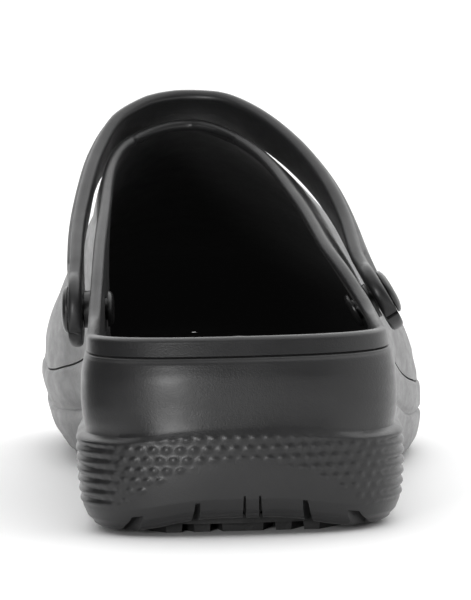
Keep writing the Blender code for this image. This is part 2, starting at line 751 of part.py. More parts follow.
def strap_rows():
    """Middle line of the strap with its across and out directions, from lobe to lobe."""
    rows = []
    climb = math.tan(math.radians(STRAP_RISE))
    for row in STRAP:
        fall = math.radians(row["fall"])
        rear_u = STRAP_EDGE_START["u"] + (row["z"] - STRAP_EDGE_START["z"]) / climb
        side = -1 if row["x"] < read(LAST, "ridge_x", THROAT) else 1
        rear = world(row["x"], rear_u, row["z"])
        front = world(row["x"] + side * row["spread"], rear_u + STRAP_WIDE * math.cos(fall),
                      row["z"] - STRAP_WIDE * math.sin(fall))
        rows.append(((rear + front) / 2, (rear - front).normalized()))
    ends = []
    for side in (-1, 1):
        seat, out, run, across = pivot_frame(side)
        lobe = seat + out * (RIVETS[side]["standoff"] + STRAP_THICK) * MM
        ends.append([(lobe, across), (lobe + run * 11 * MM, across)])
    return ends[0] + rows + ends[1][::-1]


def smooth_path(rows, per_span):
    """The rows joined by a curve through them, as closely spaced places."""
    path = []
    for n in range(len(rows) - 1):
        a, b, c, d = (rows[min(max(m, 0), len(rows) - 1)] for m in (n - 1, n, n + 1, n + 2))
        for step in range(per_span):
            t = step / per_span
            path.append(tuple(curve_between(a[i], b[i], c[i], d[i], t) for i in (0, 1)))
    path.append(rows[-1])
    return path


def curve_between(a, b, c, d, t):
    return 0.5 * (2 * b + (c - a) * t + (2 * a - 5 * b + 4 * c - d) * t ** 2 + (3 * b - a - 3 * c + d) * t ** 3)


def strap_sections(spacing):
    """Places along the strap, from the round end of one lobe to that of the other."""
    path = smooth_path(strap_rows(), 12)
    length = [0.0]
    for (a, _), (b, _) in zip(path, path[1:]):
        length.append(length[-1] + (b - a).length / MM)
    total = length[-1]
    lobe = [-LOBE_RADIUS * math.cos(math.radians(a)) for a in (17, 35, 55, 75, 92, 108, 122)]
    middle_start, middle_end = 10.0, total - 10.0
    count = round((middle_end - middle_start) / spacing)
    middle = [mix(middle_start, middle_end, n / count) for n in range(count + 1)]
    sections = []
    for s in lobe + middle + [total - q for q in reversed(lobe)]:
        inside = min(max(s, 0.0), total - 1e-6)
        i = min(max(n for n in range(len(length)) if length[n] <= inside + 1e-9), len(path) - 2)
        t = (inside - length[i]) / (length[i + 1] - length[i])
        nearest = min(s, total - s)
        run = (path[i + 1][0] - path[i][0]).normalized()
        centre = path[i][0].lerp(path[i + 1][0], t)
        if nearest < LOBE_STRAIGHT:
            first, second = (path[0], path[12]) if s < total / 2 else (path[-1], path[-13])
            toward = (second[0] - first[0]).normalized()
            centre = first[0] + toward * nearest * MM
            run = toward if s < total / 2 else -toward
        across = path[i][1].lerp(path[i + 1][1], t)
        across = (across - run * across.dot(run)).normalized()
        half = math.sqrt(max(LOBE_RADIUS ** 2 - nearest ** 2, 0.0)) if nearest < LOBE_RADIUS else 0.0
        if nearest > 0:
            half = max(half, STRAP_WIDE / 2)
        band = STRAP_BAND * ease((nearest - 12.0) / 3.0)
        sections.append((centre, across, across.cross(run).normalized(), half, band))
    return sections


def strap_profile(half, band):
    """Half section and back again: flat inner face, rounded edges and a raised band along the outer face."""
    edge = min(0.8, half * 0.4)
    middle = half * 0.6
    foot = -STRAP_THICK
    right = [(half - edge, foot), (half, foot + edge), (half, -edge), (half - edge, 0.0), (middle, 0.0),
             (middle - 0.4, band)]
    return right + [(-x, y) for x, y in reversed(right)]


def make_strap(finish):
    mesh = bmesh.new()
    rings = []
    for centre, across, out, half, band in strap_sections(9.5):
        ring = [mesh.verts.new(centre + (across * x + out * y) * MM) for x, y in strap_profile(half, band)]
        rings.append(ring)
    count = len(rings[0])
    for before, after in zip(rings, rings[1:]):
        for n in range(count):
            m = (n + 1) % count
            mesh.faces.new((before[n], before[m], after[m], after[n]))
    for ring in (rings[0], rings[-1]):
        mesh.faces.new(ring)
    return finish_object("strap", mesh, finish)


def main():
    clear_scene()
    foam = material("black_foam", (0.022, 0.022, 0.023), 0.5)
    strap_foam = material("strap_foam", (0.02, 0.02, 0.021), 0.48)
    rubber = material("black_rubber", (0.012, 0.012, 0.012), 0.62)
    lining = material("insole_foam", (0.02, 0.02, 0.02), 0.8)
    plastic = material("rivet_plastic", (0.02, 0.02, 0.02), 0.35)
    material("cutter", (1.0, 0.2, 0.2), 0.5)
    loop = Loop(SOLE_STATIONS)
    make_sole(loop, foam)
    make_insole(loop, lining)
    make_outsole(rubber)
    upper = make_upper(foam)
    strap = make_strap(strap_foam)
    for side, row in RIVETS.items():
        make_rivet(side, plastic)
        hole = pin_cutter(f"hole_{row['name']}", side)
        cut(upper, hole)
        cut(strap, hole)


main()
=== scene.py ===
import math

import bmesh
import bpy
from mathutils import Matrix, Vector


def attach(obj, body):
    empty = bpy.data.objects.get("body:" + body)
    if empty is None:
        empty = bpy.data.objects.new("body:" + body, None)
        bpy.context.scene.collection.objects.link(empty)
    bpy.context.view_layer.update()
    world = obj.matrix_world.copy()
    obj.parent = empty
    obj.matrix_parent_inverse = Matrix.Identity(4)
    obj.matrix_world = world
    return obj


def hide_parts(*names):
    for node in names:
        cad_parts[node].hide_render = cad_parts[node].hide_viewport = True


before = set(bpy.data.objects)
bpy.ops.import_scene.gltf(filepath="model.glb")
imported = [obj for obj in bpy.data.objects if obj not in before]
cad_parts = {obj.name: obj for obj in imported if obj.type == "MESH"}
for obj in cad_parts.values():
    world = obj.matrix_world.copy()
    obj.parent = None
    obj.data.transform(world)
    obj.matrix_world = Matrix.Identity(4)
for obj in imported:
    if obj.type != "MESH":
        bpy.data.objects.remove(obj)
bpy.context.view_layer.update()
print("frame loaded:", ", ".join(sorted(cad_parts)))

mm = 0.001

# the last, in millimetres: how the shoe lies along the foot, as in the construction
shoe = {
    "length": 286.0,
    "heelRound": 30.0, "heelPower": 2.6,
    "toeRound": 80.0, "toePower": 2.55,
    "gap": 0.3,
    "wall": 3.4,
    "throat": 139.5,
    "toeDome": 42.0, "toeDomePower": 2.2,
    "heelLean": 0.3,
    "forwardFrom": 60.0, "forwardLength": 95.0,
}

plan = [
    {"u": 0, "middle": 0.0, "half": 41.5},
    {"u": 45, "middle": 0.0, "half": 41.5},
    {"u": 75, "middle": 0.6, "half": 41.2},
    {"u": 100, "middle": 2.2, "half": 41.8},
    {"u": 130, "middle": 2.6, "half": 45.4},
    {"u": 165, "middle": 1.0, "half": 53.0},
    {"u": 192, "middle": 0.0, "half": 56.2},
    {"u": 215, "middle": -2.0, "half": 56.0},
    {"u": 250, "middle": -7.0, "half": 53.5},
    {"u": 286, "middle": -11.0, "half": 51.0},
]

levels = [
    {"u": 0, "seamMedial": 44.8, "seamLateral": 44.8, "lift": 0.0, "floor": 24.0},
    {"u": 10, "seamMedial": 44.9, "seamLateral": 44.9, "lift": 0.0, "floor": 24.0},
    {"u": 40, "seamMedial": 45.9, "seamLateral": 45.6, "lift": 0.0, "floor": 23.6},
    {"u": 66, "seamMedial": 47.0, "seamLateral": 46.4, "lift": 0.0, "floor": 22.4},
    {"u": 82, "seamMedial": 46.2, "seamLateral": 44.6, "lift": 0.6, "floor": 20.8},
    {"u": 110, "seamMedial": 40.4, "seamLateral": 35.6, "lift": 3.6, "floor": 17.4},
    {"u": 140, "seamMedial": 32.8, "seamLateral": 26.5, "lift": 0.9, "floor": 14.6},
    {"u": 152, "seamMedial": 30.6, "seamLateral": 24.2, "lift": 0.0, "floor": 13.8},
    {"u": 185, "seamMedial": 27.0, "seamLateral": 21.0, "lift": 0.0, "floor": 13.0},
    {"u": 200, "seamMedial": 26.8, "seamLateral": 21.4, "lift": 0.3, "floor": 13.2},
    {"u": 230, "seamMedial": 27.4, "seamLateral": 24.0, "lift": 2.8, "floor": 14.8},
    {"u": 262, "seamMedial": 28.6, "seamLateral": 27.0, "lift": 7.2, "floor": 18.0},
    {"u": 286, "seamMedial": 29.0, "seamLateral": 29.0, "lift": 11.0, "floor": 21.0},
]

heelBevel = [
    {"u": 0, "rise": 3.4},
    {"u": 0.7, "rise": 2.8},
    {"u": 2.6, "rise": 1.2},
    {"u": 6, "rise": 0.2},
    {"u": 10, "rise": 0.0},
]

last = [
    {"u": 0, "ridgeX": 0.0, "ridgeZ": 112.0, "fullMedial": 2.4, "fullLateral": 1.5},
    {"u": 45, "ridgeX": -5.0, "ridgeZ": 112.0, "fullMedial": 2.6, "fullLateral": 1.2},
    {"u": 72, "ridgeX": -9.0, "ridgeZ": 111.0, "fullMedial": 3.0, "fullLateral": 1.14},
    {"u": 100, "ridgeX": -10.5, "ridgeZ": 108.0, "fullMedial": 3.2, "fullLateral": 1.29},
    {"u": 125, "ridgeX": -10.4, "ridgeZ": 103.8, "fullMedial": 2.9, "fullLateral": 1.46},
    {"u": 139.5, "ridgeX": -10.3, "ridgeZ": 101.1, "fullMedial": 2.3, "fullLateral": 1.52},
    {"u": 158, "ridgeX": -10.6, "ridgeZ": 95.6, "fullMedial": 1.98, "fullLateral": 1.6},
    {"u": 185, "ridgeX": -12.0, "ridgeZ": 84.8, "fullMedial": 1.88, "fullLateral": 1.72},
    {"u": 215, "ridgeX": -13.0, "ridgeZ": 72.0, "fullMedial": 1.95, "fullLateral": 1.9},
    {"u": 250, "ridgeX": -13.0, "ridgeZ": 60.5, "fullMedial": 2.1, "fullLateral": 2.1},
    {"u": 286, "ridgeX": -11.0, "ridgeZ": 54.0, "fullMedial": 2.1, "fullLateral": 2.1},
]

collarLine = [
    {"u": 0, "z": 48.2},
    {"u": 34, "z": 48.4},
    {"u": 47, "z": 50.4},
    {"u": 57, "z": 55.6},
    {"u": 68, "z": 62.8},
    {"u": 85, "z": 72.4},
    {"u": 105, "z": 83.2},
    {"u": 125, "z": 93.8},
    {"u": 135, "z": 98.8},
    {"u": 139.5, "z": 101.1},
]


# small helpers: mixing, easing and reading a table along the foot

def mix(a, b, t):
    return a + (b - a) * t


def ease(t):
    t = min(max(t, 0.0), 1.0)
    return t * t * (3 - 2 * t)


def slopeAt(table, column, i, key):
    if i == 0 or i == len(table) - 1:
        return 0.0
    leftStep = table[i][key] - table[i - 1][key]
    rightStep = table[i + 1][key] - table[i][key]
    left = (table[i][column] - table[i - 1][column]) / leftStep
    right = (table[i + 1][column] - table[i][column]) / rightStep
    if left * right <= 0:
        return 0.0
    leftPart = (2 * rightStep + leftStep) / left
    rightPart = (rightStep + 2 * leftStep) / right
    return 3 * (leftStep + rightStep) / (leftPart + rightPart)


def read(table, column, at, key="u"):
    if at <= table[0][key]:
        return table[0][column]
    if at >= table[-1][key]:
        return table[-1][column]
    i = max(n for n in range(len(table) - 1) if table[n][key] <= at)
    step = table[i + 1][key] - table[i][key]
    t = (at - table[i][key]) / step
    before, after = slopeAt(table, column, i, key), slopeAt(table, column, i + 1, key)
    a, b = table[i][column], table[i + 1][column]
    held = a * (1 + 2 * t) * (1 - t) ** 2 + b * t * t * (3 - 2 * t)
    return held + before * step * t * (1 - t) ** 2 + after * step * t * t * (t - 1)


def rounding(depth, power):
    depth = min(max(depth, 0.0), 1.0)
    return (1 - (1 - depth) ** power) ** (1 / power)


def planX(u, side):
    half = read(plan, "half", u)
    half *= rounding(u / shoe["heelRound"], shoe["heelPower"])
    half *= rounding((shoe["length"] - u) / shoe["toeRound"], shoe["toePower"])
    return read(plan, "middle", u) + side * half


def bySide(medial, lateral, side):
    return mix(medial, lateral, (side + 1) / 2)


def seamZ(u, side):
    return bySide(read(levels, "seamMedial", u), read(levels, "seamLateral", u), side)


def place(x, u, z):
    return Vector((x * mm, (u - shoe["length"] / 2) * mm, z * mm))


def roundEnd(share, length, power):
    return length * (1 - (1 - share ** power) ** (1 / power))


def evenStations(spacingAt, extra=()):
    # distances from the heel whose columns lie evenly along the outline, and round both ends
    length, endSteps, middleSteps, endShare, clear = shoe["length"], 400, 600, 0.985, 0.25
    shares = [n / endSteps * endShare for n in range(endSteps + 1)]
    heel = [roundEnd(q, shoe["heelRound"], shoe["heelPower"]) for q in shares]
    toe = [length - roundEnd(q, shoe["toeRound"], shoe["toePower"]) for q in shares]
    middle = [heel[-1] + (toe[-1] - heel[-1]) * n / middleSteps for n in range(1, middleSteps)]
    fine = heel + middle + toe[::-1]
    points = [Vector((planX(u, 1), u)) for u in fine]
    picked, run = [0.0], 0.0
    for i in range(1, len(fine)):
        run += (points[i] - points[i - 1]).length
        if run >= spacingAt(fine[i]):
            picked.append(fine[i])
            run = 0.0
    while length - picked[-1] < 1e-4:
        picked.pop()
    picked = sorted(set([u for u in picked if all(abs(u - e) > clear for e in extra)] + list(extra)))
    return picked + [length]


class Outline:
    # columns of the plan: back of the heel, medial side, tip of the toe, lateral side

    def __init__(self, distances):
        last = len(distances) - 1
        self.last = last
        self.u = distances + distances[last - 1:0:-1]
        self.side = [0] + [-1] * (last - 1) + [0] + [1] * (last - 1)
        self.plan = [Vector((planX(u, side), u)) for u, side in zip(self.u, self.side)]
        self.count = len(self.u)
        self.out = []
        self.arc = [0.0] * self.count
        for i in range(self.count):
            run = self.plan[(i + 1) % self.count] - self.plan[i - 1]
            self.out.append(Vector((-run.y, run.x)).normalized())
        for k in range(1, last + 1):
            self.arc[k] = self.arc[k - 1] + (self.plan[k] - self.plan[k - 1]).length
        run = 0.0
        for k in range(1, last):
            here, before = self.plan[-k], self.plan[(1 - k) % self.count]
            run += (here - before).length
            self.arc[-k] = run

    def ring(self, outAt, zAt):
        made = []
        for i in range(self.count):
            spot = self.plan[i] + self.out[i] * outAt(i)
            made.append(place(spot.x, spot.y, zAt(i, spot.y)))
        return made

    def lowEdge(self, i, u):
        return read(levels, "lift", u) + read(heelBevel, "rise", self.u[i])


# building blocks for the meshes

def newPiece(name, mesh, finish, replaced, smoothAngle=45):
    bmesh.ops.remove_doubles(mesh, verts=mesh.verts, dist=1e-7)
    bmesh.ops.recalc_face_normals(mesh, faces=mesh.faces)
    data = bpy.data.meshes.new(name)
    mesh.to_mesh(data)
    mesh.free()
    data.shade_smooth()
    data.set_sharp_from_angle(angle=math.radians(smoothAngle))
    data.materials.append(finish)
    made = bpy.data.objects.new(name, data)
    bpy.context.scene.collection.objects.link(made)
    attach(made, "root")
    if replaced:
        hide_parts(replaced)
    print("piece:", name, len(data.polygons), "faces")
    return made


def addFace(mesh, verts):
    kept = [v for n, v in enumerate(verts) if v not in verts[:n]]
    if len(kept) > 2:
        mesh.faces.new(kept)


def loftRings(rings, last):
    mesh = bmesh.new()
    verts = [[mesh.verts.new(point) for point in ring] for ring in rings]
    count = len(rings[0])
    for upper, lower in zip(verts, verts[1:]):
        for i in range(count):
            j = (i + 1) % count
            mesh.faces.new((upper[i], upper[j], lower[j], lower[i]))
    for ring in (verts[0], verts[-1]):
        mesh.faces.new((ring[0], ring[1], ring[-1]))
        for k in range(1, last - 1):
            mesh.faces.new((ring[k], ring[k + 1], ring[-k - 1], ring[-k]))
        mesh.faces.new((ring[last - 1], ring[last], ring[last + 1]))
    return mesh


# finishes

def newMaterial(name, settings):
    made = bpy.data.materials.new(name)
    made.use_nodes = True
    shader = made.node_tree.nodes["Principled BSDF"]
    for socket, value in settings.items():
        shader.inputs[socket].default_value = value
    return made, made.node_tree, shader


def noiseNode(tree, scale, detail, rough=0.55, stretch=(1, 1, 1)):
    coords = tree.nodes.new("ShaderNodeTexCoord")
    spread = tree.nodes.new("ShaderNodeMapping")
    spread.inputs["Scale"].default_value = stretch
    noise = tree.nodes.new("ShaderNodeTexNoise")
    noise.inputs["Scale"].default_value = scale
    noise.inputs["Detail"].default_value = detail
    noise.inputs["Roughness"].default_value = rough
    tree.links.new(coords.outputs["Object"], spread.inputs["Vector"])
    tree.links.new(spread.outputs["Vector"], noise.inputs["Vector"])
    return noise.outputs["Fac"]


def rangeNode(tree, source, low, high, fromLow=0.3, fromHigh=0.7):
    node = tree.nodes.new("ShaderNodeMapRange")
    node.inputs["From Min"].default_value = fromLow
    node.inputs["From Max"].default_value = fromHigh
    node.inputs["To Min"].default_value = low
    node.inputs["To Max"].default_value = high
    tree.links.new(source, node.inputs["Value"])
    return node.outputs["Result"]


def bumpNode(tree, height, distance, strength, under=None):
    node = tree.nodes.new("ShaderNodeBump")
    node.inputs["Distance"].default_value = distance
    node.inputs["Strength"].default_value = strength
    tree.links.new(height, node.inputs["Height"])
    if under:
        tree.links.new(under, node.inputs["Normal"])
    return node.outputs["Normal"]


def colourNode(tree, factor, dark, light):
    ramp = tree.nodes.new("ShaderNodeValToRGB")
    ramp.color_ramp.elements[0].position = 0.32
    ramp.color_ramp.elements[1].position = 0.68
    ramp.color_ramp.elements[0].color = (*dark, 1)
    ramp.color_ramp.elements[1].color = (*light, 1)
    tree.links.new(factor, ramp.inputs["Fac"])
    return ramp.outputs["Color"]


def mouldedFoam(name, dark, light, rough, grain=0.5):
    # satin black moulded foam: soft gloss, a fine skin grain and faint flow marks from the mould; the faint
    # even glow (Emission Strength) is painted light that lifts the shaded inside of the shoe off black
    made, tree, shader = newMaterial(name, {
        "Metallic": 0.0, "IOR": 1.5, "Specular IOR Level": 0.36,
        "Coat Weight": 0.3, "Coat Roughness": 0.27, "Coat IOR": 1.4,
        "Sheen Weight": 0.04, "Sheen Roughness": 0.4, "Emission Strength": 0.0018,
    })
    cloud = noiseNode(tree, 38, 3)
    tree.links.new(colourNode(tree, cloud, dark, light), shader.inputs["Base Color"])
    smear = noiseNode(tree, 120, 4, 0.6, (1, 1, 2.2))
    tree.links.new(rangeNode(tree, smear, rough - 0.05, rough + 0.07), shader.inputs["Roughness"])
    skin = bumpNode(tree, noiseNode(tree, 2600, 2, 0.5), 0.00012, grain)
    pores = bumpNode(tree, noiseNode(tree, 900, 3, 0.6), 0.0002, grain * 0.5, skin)
    flow = bumpNode(tree, noiseNode(tree, 55, 2, 0.4), 0.0012, 0.16, pores)
    tree.links.new(flow, shader.inputs["Normal"])
    return made


upperFoam = mouldedFoam("upperFoam", (0.009, 0.009, 0.0095), (0.014, 0.014, 0.0145), 0.42)
soleFoam = mouldedFoam("soleFoam", (0.009, 0.009, 0.0095), (0.015, 0.015, 0.0155), 0.41)
strapFoam = mouldedFoam("strapFoam", (0.008, 0.008, 0.0085), (0.013, 0.013, 0.0135), 0.44, 0.4)


def treadRubber():
    made, tree, shader = newMaterial("treadRubber", {
        "Metallic": 0.0, "IOR": 1.52, "Specular IOR Level": 0.4,
    })
    tree.links.new(colourNode(tree, noiseNode(tree, 90, 3), (0.008, 0.008, 0.008), (0.015, 0.015, 0.015)),
                   shader.inputs["Base Color"])
    tree.links.new(rangeNode(tree, noiseNode(tree, 240, 3), 0.55, 0.7), shader.inputs["Roughness"])
    tree.links.new(bumpNode(tree, noiseNode(tree, 1500, 3), 0.0003, 0.5), shader.inputs["Normal"])
    return made


def footbedFoam():
    made, tree, shader = newMaterial("footbedFoam", {
        "Metallic": 0.0, "IOR": 1.45, "Specular IOR Level": 0.3,
    })
    tree.links.new(colourNode(tree, noiseNode(tree, 60, 3), (0.012, 0.012, 0.012), (0.02, 0.02, 0.02)),
                   shader.inputs["Base Color"])
    tree.links.new(rangeNode(tree, noiseNode(tree, 400, 3), 0.72, 0.88), shader.inputs["Roughness"])
    tree.links.new(bumpNode(tree, noiseNode(tree, 1800, 4, 0.7), 0.0005, 0.6), shader.inputs["Normal"])
    return made


def rivetPlastic():
    made, tree, shader = newMaterial("rivetPlastic", {
        "Metallic": 0.0, "IOR": 1.5, "Specular IOR Level": 0.5,
    })
    tree.links.new(colourNode(tree, noiseNode(tree, 200, 2), (0.014, 0.014, 0.014), (0.02, 0.02, 0.02)),
                   shader.inputs["Base Color"])
    tree.links.new(rangeNode(tree, noiseNode(tree, 700, 3), 0.26, 0.36), shader.inputs["Roughness"])
    tree.links.new(bumpNode(tree, noiseNode(tree, 1200, 2), 0.0001, 0.25), shader.inputs["Normal"])
    return made


rubber, footbed, rivetFinish = treadRubber(), footbedFoam(), rivetPlastic()
print("finishes made")


# sole unit: heel cup, step, nubs that run out into ribs, notched lower edge

soleSide = [
    {"shareHeel": 1.0, "outHeel": -3.0, "shareBall": 1.0, "outMedial": -0.9, "outLateral": -0.9},
    {"shareHeel": 0.965, "outHeel": -2.3, "shareBall": 0.95, "outMedial": -0.2, "outLateral": -0.2},
    {"shareHeel": 0.87, "outHeel": -1.5, "shareBall": 0.86, "outMedial": 0.0, "outLateral": 0.0},
    {"shareHeel": 0.74, "outHeel": -1.3, "shareBall": 0.76, "outMedial": -0.4, "outLateral": 0.0},
    {"shareHeel": 0.63, "outHeel": -1.6, "shareBall": 0.66, "outMedial": -1.2, "outLateral": -0.1},
    {"shareHeel": 0.56, "outHeel": -2.1, "shareBall": 0.585, "outMedial": -2.4, "outLateral": -1.1},
    {"shareHeel": 0.537, "outHeel": -0.7, "shareBall": 0.555, "outMedial": -1.6, "outLateral": -0.3},
    {"shareHeel": 0.518, "outHeel": 0.0, "shareBall": 0.53, "outMedial": -1.5, "outLateral": -0.1},
    {"shareHeel": 0.32, "outHeel": -0.25, "shareBall": 0.38, "outMedial": -2.5, "outLateral": -0.5},
    {"shareHeel": 0.15, "outHeel": -1.0, "shareBall": 0.22, "outMedial": -5.0, "outLateral": -1.4},
    {"shareHeel": 0.085, "outHeel": -2.2, "shareBall": 0.13, "outMedial": -6.6, "outLateral": -2.6},
    {"shareHeel": 0.042, "outHeel": -3.8, "shareBall": 0.07, "outMedial": -8.2, "outLateral": -4.0},
]

soleUnit = {
    "lowEdge": 0.9,
    "lowOuter": {"outHeel": -5.8, "outMedial": -9.8, "outLateral": -6.0},
    "lowInner": {"outHeel": -9.6, "outMedial": -13.2, "outLateral": -9.6},
    "recess": 5.0,
    "cupRows": 22, "stepRows": 8, "bandRows": 76, "edgeRows": 7,
    "backEnd": 24.0, "backFade": 12.0,
    "backArch": 0.8, "backArchHalf": 30.0, "stepSoftHalf": 35.0, "stepSoftFade": 14.0,
    "textureTop": 0.52, "textureOver": 0.4, "fadeTop": 1.2, "fadeFoot": 1.6,
    "nubPitch": 3.4, "nubRow": 2.6, "nubHeight": 0.36, "nubBack": 0.24, "nubWide": 0.34, "nubTall": 0.38,
    "plainArch": 12.5, "plainHalf": 31.0, "textureFoot": 6.2,
    "ribPitch": 2.6, "ribDepth": 0.8, "ribSunk": 0.55, "ribFrom": 26.0, "ribFull": 45.0,
    "ribLastU": 118.0, "ribFade": 22.0,
    "spacingHeel": 0.5, "spacingFront": 2.2, "spacingChange": 96.0,
    "notchDeep": 9.0, "notchLow": -3.0, "notchIn": 3.0, "notchTip": 0.35,
    "notchEndWide": 0.7, "notchEndHigh": 0.55,
}

heelNotches = [
    {"x": -27.0, "wide": 6.5, "high": 6.4, "lean": -24.0},
    {"x": -11.5, "wide": 3.8, "high": 10.6, "lean": -12.0},
    {"x": 0.4, "wide": 1.8, "high": 12.4, "lean": -3.0},
    {"x": 4.4, "wide": 1.8, "high": 12.4, "lean": 3.0},
    {"x": 16.0, "wide": 3.8, "high": 10.6, "lean": 12.0},
    {"x": 28.5, "wide": 6.5, "high": 6.4, "lean": 24.0},
]


def forwardShare(u):
    return ease((u - shoe["forwardFrom"]) / shoe["forwardLength"])


def sideRow(t, outline, i):
    # share of the height and reach out of the plan at row position t, between two rows of the table
    n = min(int(t), len(soleSide) - 2)
    part = t - n
    forward = forwardShare(outline.u[i])
    found = []
    for row in (max(n - 1, 0), n, n + 1, min(n + 2, len(soleSide) - 1)):
        row = soleSide[row]
        ball = bySide(row["outMedial"], row["outLateral"], outline.side[i])
        found.append((mix(row["shareHeel"], row["shareBall"], forward),
                      mix(row["outHeel"], ball, forward)))
    share = mix(found[1][0], found[2][0], part)
    a, b, c, d = (f[1] for f in found)
    before, after = limited(b - a, c - b), limited(c - b, d - c)
    out = b * (1 + 2 * part) * (1 - part) ** 2 + c * part ** 2 * (3 - 2 * part)
    return share, out + before * part * (1 - part) ** 2 + after * part ** 2 * (part - 1)


def limited(a, b):
    return 0.0 if a * b <= 0 else 2 * a * b / (a + b)


def textureRelief(outline, i, z, top):
    # small staggered nubs round the back of the heel, drawn out into level ribs along its sides
    s = soleUnit
    arc, u = outline.arc[i], outline.u[i]
    plain = s["textureFoot"]
    if u < shoe["heelRound"]:
        plain += s["plainArch"] * max(0.0, 1 - (outline.plan[i].x / s["plainHalf"]) ** 2)
    inside = ease((top - z) / s["fadeTop"]) * ease((z - plain) / s["fadeFoot"])
    if inside <= 0:
        return 0.0
    row = math.floor(z / s["nubRow"])
    across = (arc / s["nubPitch"] + 0.5 * (row % 2)) % 1.0 - 0.5
    up = (z / s["nubRow"]) % 1.0 - 0.5
    height = mix(s["nubBack"], s["nubHeight"], ease(arc / s["ribFrom"]))
    nub = max(0.0, 1 - (across / s["nubWide"]) ** 2 - (up / s["nubTall"]) ** 2) ** 0.7 * height
    wave = (0.5 + 0.5 * math.cos(2 * math.pi * z / s["ribPitch"])) ** 0.8
    rib = (wave - s["ribSunk"]) * s["ribDepth"]
    toRib = ease((arc - s["ribFrom"]) / (s["ribFull"] - s["ribFrom"]))
    fade = ease((s["ribLastU"] - u) / s["ribFade"])
    return mix(nub, rib, toRib) * inside * fade


def makeSole():
    s = soleUnit
    change = s["spacingChange"]
    outline = Outline(evenStations(lambda u: s["spacingHeel"] if u < change else s["spacingFront"]))
    seam = [seamZ(u, side) - shoe["gap"] / 2 for u, side in zip(outline.u, outline.side)]
    rowsAt = [4.0 * n / s["cupRows"] for n in range(s["cupRows"])]
    rowsAt += [4.0 + 3.0 * n / s["stepRows"] for n in range(s["stepRows"])]
    rowsAt += [7.0 + 3.0 * n / s["bandRows"] for n in range(s["bandRows"])]
    rowsAt += [10.0 + 1.0 * n / s["edgeRows"] for n in range(s["edgeRows"] + 1)]
    atBack = [ease((s["backEnd"] - u) / s["backFade"]) for u in outline.u]
    back = [max(0.0, 1 - (p.x / s["backArchHalf"]) ** 2) * near for p, near in zip(outline.plan, atBack)]
    soft = [ease((s["stepSoftHalf"] - abs(p.x)) / s["stepSoftFade"]) * near
            for p, near in zip(outline.plan, atBack)]

    def sideRing(t):
        made = []
        for i in range(outline.count):
            share, out = sideRow(t, outline, i)
            spot = outline.plan[i] + outline.out[i] * out
            low = outline.lowEdge(i, spot.y)
            z = mix(low, seam[i], share)
            lifted = s["backArch"] * back[i] * ease((share - 0.2) / 0.3) * ease((0.9 - share) / 0.3)
            if 3.0 < t < 8.0:
                smooth = mix(soleSide[3]["outHeel"], soleSide[8]["outHeel"], ease((t - 3.0) / 5.0))
                out = mix(out, smooth, soft[i])
            top = mix(low, seam[i], s["textureTop"]) + s["backArch"] * back[i] + s["textureOver"]
            out += textureRelief(outline, i, z + lifted, top)
            spot = outline.plan[i] + outline.out[i] * out
            made.append(place(spot.x, spot.y, z + lifted))
        return made

    def out(row, inset=0.0):
        def at(i):
            ball = bySide(row["outMedial"], row["outLateral"], outline.side[i])
            return mix(row["outHeel"], ball, forwardShare(outline.u[i])) - inset
        return at

    lip = shoe["wall"] + 0.2
    edge = s["lowEdge"]
    rings = [
        outline.ring(out(soleSide[0], lip), lambda i, u: read(levels, "floor", u)),
        outline.ring(out(soleSide[0], lip), lambda i, u: seam[i] - 0.3),
        outline.ring(out(soleSide[0], lip - 0.3), lambda i, u: seam[i]),
        outline.ring(out(soleSide[0], 0.9), lambda i, u: seam[i]),
        outline.ring(out(soleSide[0], 0.3), lambda i, u: seam[i] - 0.15),
    ]
    rings += [sideRing(t) for t in rowsAt[1:]]
    rings += [
        outline.ring(out(s["lowOuter"], -0.8), lambda i, u: outline.lowEdge(i, u) + edge + 0.25),
        outline.ring(out(s["lowOuter"]), lambda i, u: outline.lowEdge(i, u) + edge),
        outline.ring(out(s["lowInner"]), lambda i, u: outline.lowEdge(i, u) + edge),
        outline.ring(out(s["lowInner"], 0.2), lambda i, u: read(levels, "lift", u) + s["recess"]),
    ]
    sole = newPiece("soleUnit", loftRings(rings, outline.last), soleFoam, "sole", 50)
    cutAway(sole, [notchCutter(row) for row in heelNotches])
    return sole


def notchCutter(row):
    # a wedge under the heel's lower edge, wide at the ground and narrow at its top
    s = soleUnit
    deep, low, tip = s["notchDeep"], s["notchLow"], s["notchTip"]
    back = next(u for u in (n * 0.25 for n in range(80)) if planX(u, 1) >= abs(row["x"]) + 0.5)
    turn = Matrix.Rotation(math.radians(-row["lean"]), 4, "Z")
    ends = ((-deep, row["wide"] / 2, row["high"]),
            (deep, row["wide"] / 2 * s["notchEndWide"], row["high"] * s["notchEndHigh"]))
    mesh = bmesh.new()
    corners = []
    for y, half, top in ends:
        for x, z in ((-half, low), (half, low), (half * tip, top), (-half * tip, top)):
            moved = turn @ Vector((x, y, z))
            spot = place(row["x"] + moved.x, back + s["notchIn"] + moved.y, moved.z)
            corners.append(mesh.verts.new(spot))
    for face in ((0, 1, 2, 3), (7, 6, 5, 4), (0, 4, 5, 1), (1, 5, 6, 2), (2, 6, 7, 3), (3, 7, 4, 0)):
        mesh.faces.new([corners[i] for i in face])
    return mesh


def cutAway(piece, meshes):
    # cut each closed form out of the piece for good
    for mesh in meshes:
        bmesh.ops.recalc_face_normals(mesh, faces=mesh.faces)
        data = bpy.data.meshes.new("cutForm")
        mesh.to_mesh(data)
        mesh.free()
        form = bpy.data.objects.new("cutForm", data)
        bpy.context.scene.collection.objects.link(form)
        step = piece.modifiers.new("cut", "BOOLEAN")
        step.operation = "DIFFERENCE"
        step.solver = "EXACT"
        step.object = form
        applyAll(piece)
        bpy.data.objects.remove(form)


def applyAll(piece):
    dg = bpy.context.evaluated_depsgraph_get()
    dg.update()
    made = bpy.data.meshes.new_from_object(piece.evaluated_get(dg))
    piece.modifiers.clear()
    piece.data = made


sole = makeSole()


# upper: one moulded shell with a rounded lip along the collar

